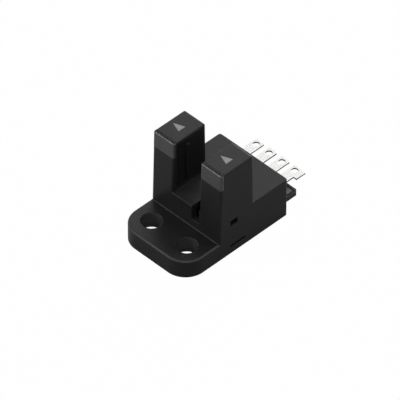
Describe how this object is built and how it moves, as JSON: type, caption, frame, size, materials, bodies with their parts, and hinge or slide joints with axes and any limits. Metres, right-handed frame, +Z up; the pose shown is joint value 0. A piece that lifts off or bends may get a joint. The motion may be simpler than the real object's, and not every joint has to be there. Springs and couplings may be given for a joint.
{
  "type": "slotted optical switch",
  "caption": "Black slotted optical switch: drilled mounting flange, upright posts with an open sensing slot between them, and flat tinned solder terminals at the back.",
  "frame": {"origin": "midway between the two mounting holes, on the bottom face of the flange", "axes": "+Z up along the posts, +Y from the flange towards the terminals, +X across the slot towards the emitter post"},
  "size_m": [0.0134, 0.0252, 0.0156],
  "materials": {
    "case_black": "satin moulded black",
    "cover_black": "satin moulded black",
    "window_dark": "glossy infrared-clear black",
    "indicator_smoke": "smooth smoked grey",
    "holder_black": "matt black",
    "emitter_resin": "clear blue-tinted resin",
    "receiver_resin": "dark resin",
    "light_guide_clear": "clear",
    "board_green": "solder-masked laminate",
    "lamp_clear": "clear chip lamp",
    "chip_black": "moulded epoxy",
    "resistor_black": "ceramic chip with tinned ends",
    "capacitor_tan": "ceramic chip with tinned ends",
    "tinned_metal": "bright tin plating"
  },
  "bodies": {
    "root": {"case": "case_black", "base_cover": "cover_black", "slot_window_right": "window_dark", "slot_window_left": "window_dark", "indicator_window_right": "indicator_smoke", "indicator_window_left": "indicator_smoke", "emitter_holder": "holder_black", "receiver_holder": "holder_black", "infrared_emitter": "emitter_resin", "photo_receiver": "receiver_resin", "light_guide": "light_guide_clear", "circuit_board": "board_green", "indicator_lamp": "lamp_clear", "terminal_block": "cover_black", "capacitor": "capacitor_tan", "protection_diode": "chip_black", "regulator_chip": "chip_black", "output_transistor": "chip_black", "emitter_lead_1": "tinned_metal", "emitter_lead_2": "tinned_metal", "receiver_lead_1": "tinned_metal", "receiver_lead_2": "tinned_metal", "receiver_lead_3": "tinned_metal", "resistor_1": "resistor_black", "resistor_2": "resistor_black", "resistor_3": "resistor_black", "terminal_1": "tinned_metal", "terminal_2": "tinned_metal", "terminal_3": "tinned_metal", "terminal_4": "tinned_metal"}
  },
  "joints": []
}
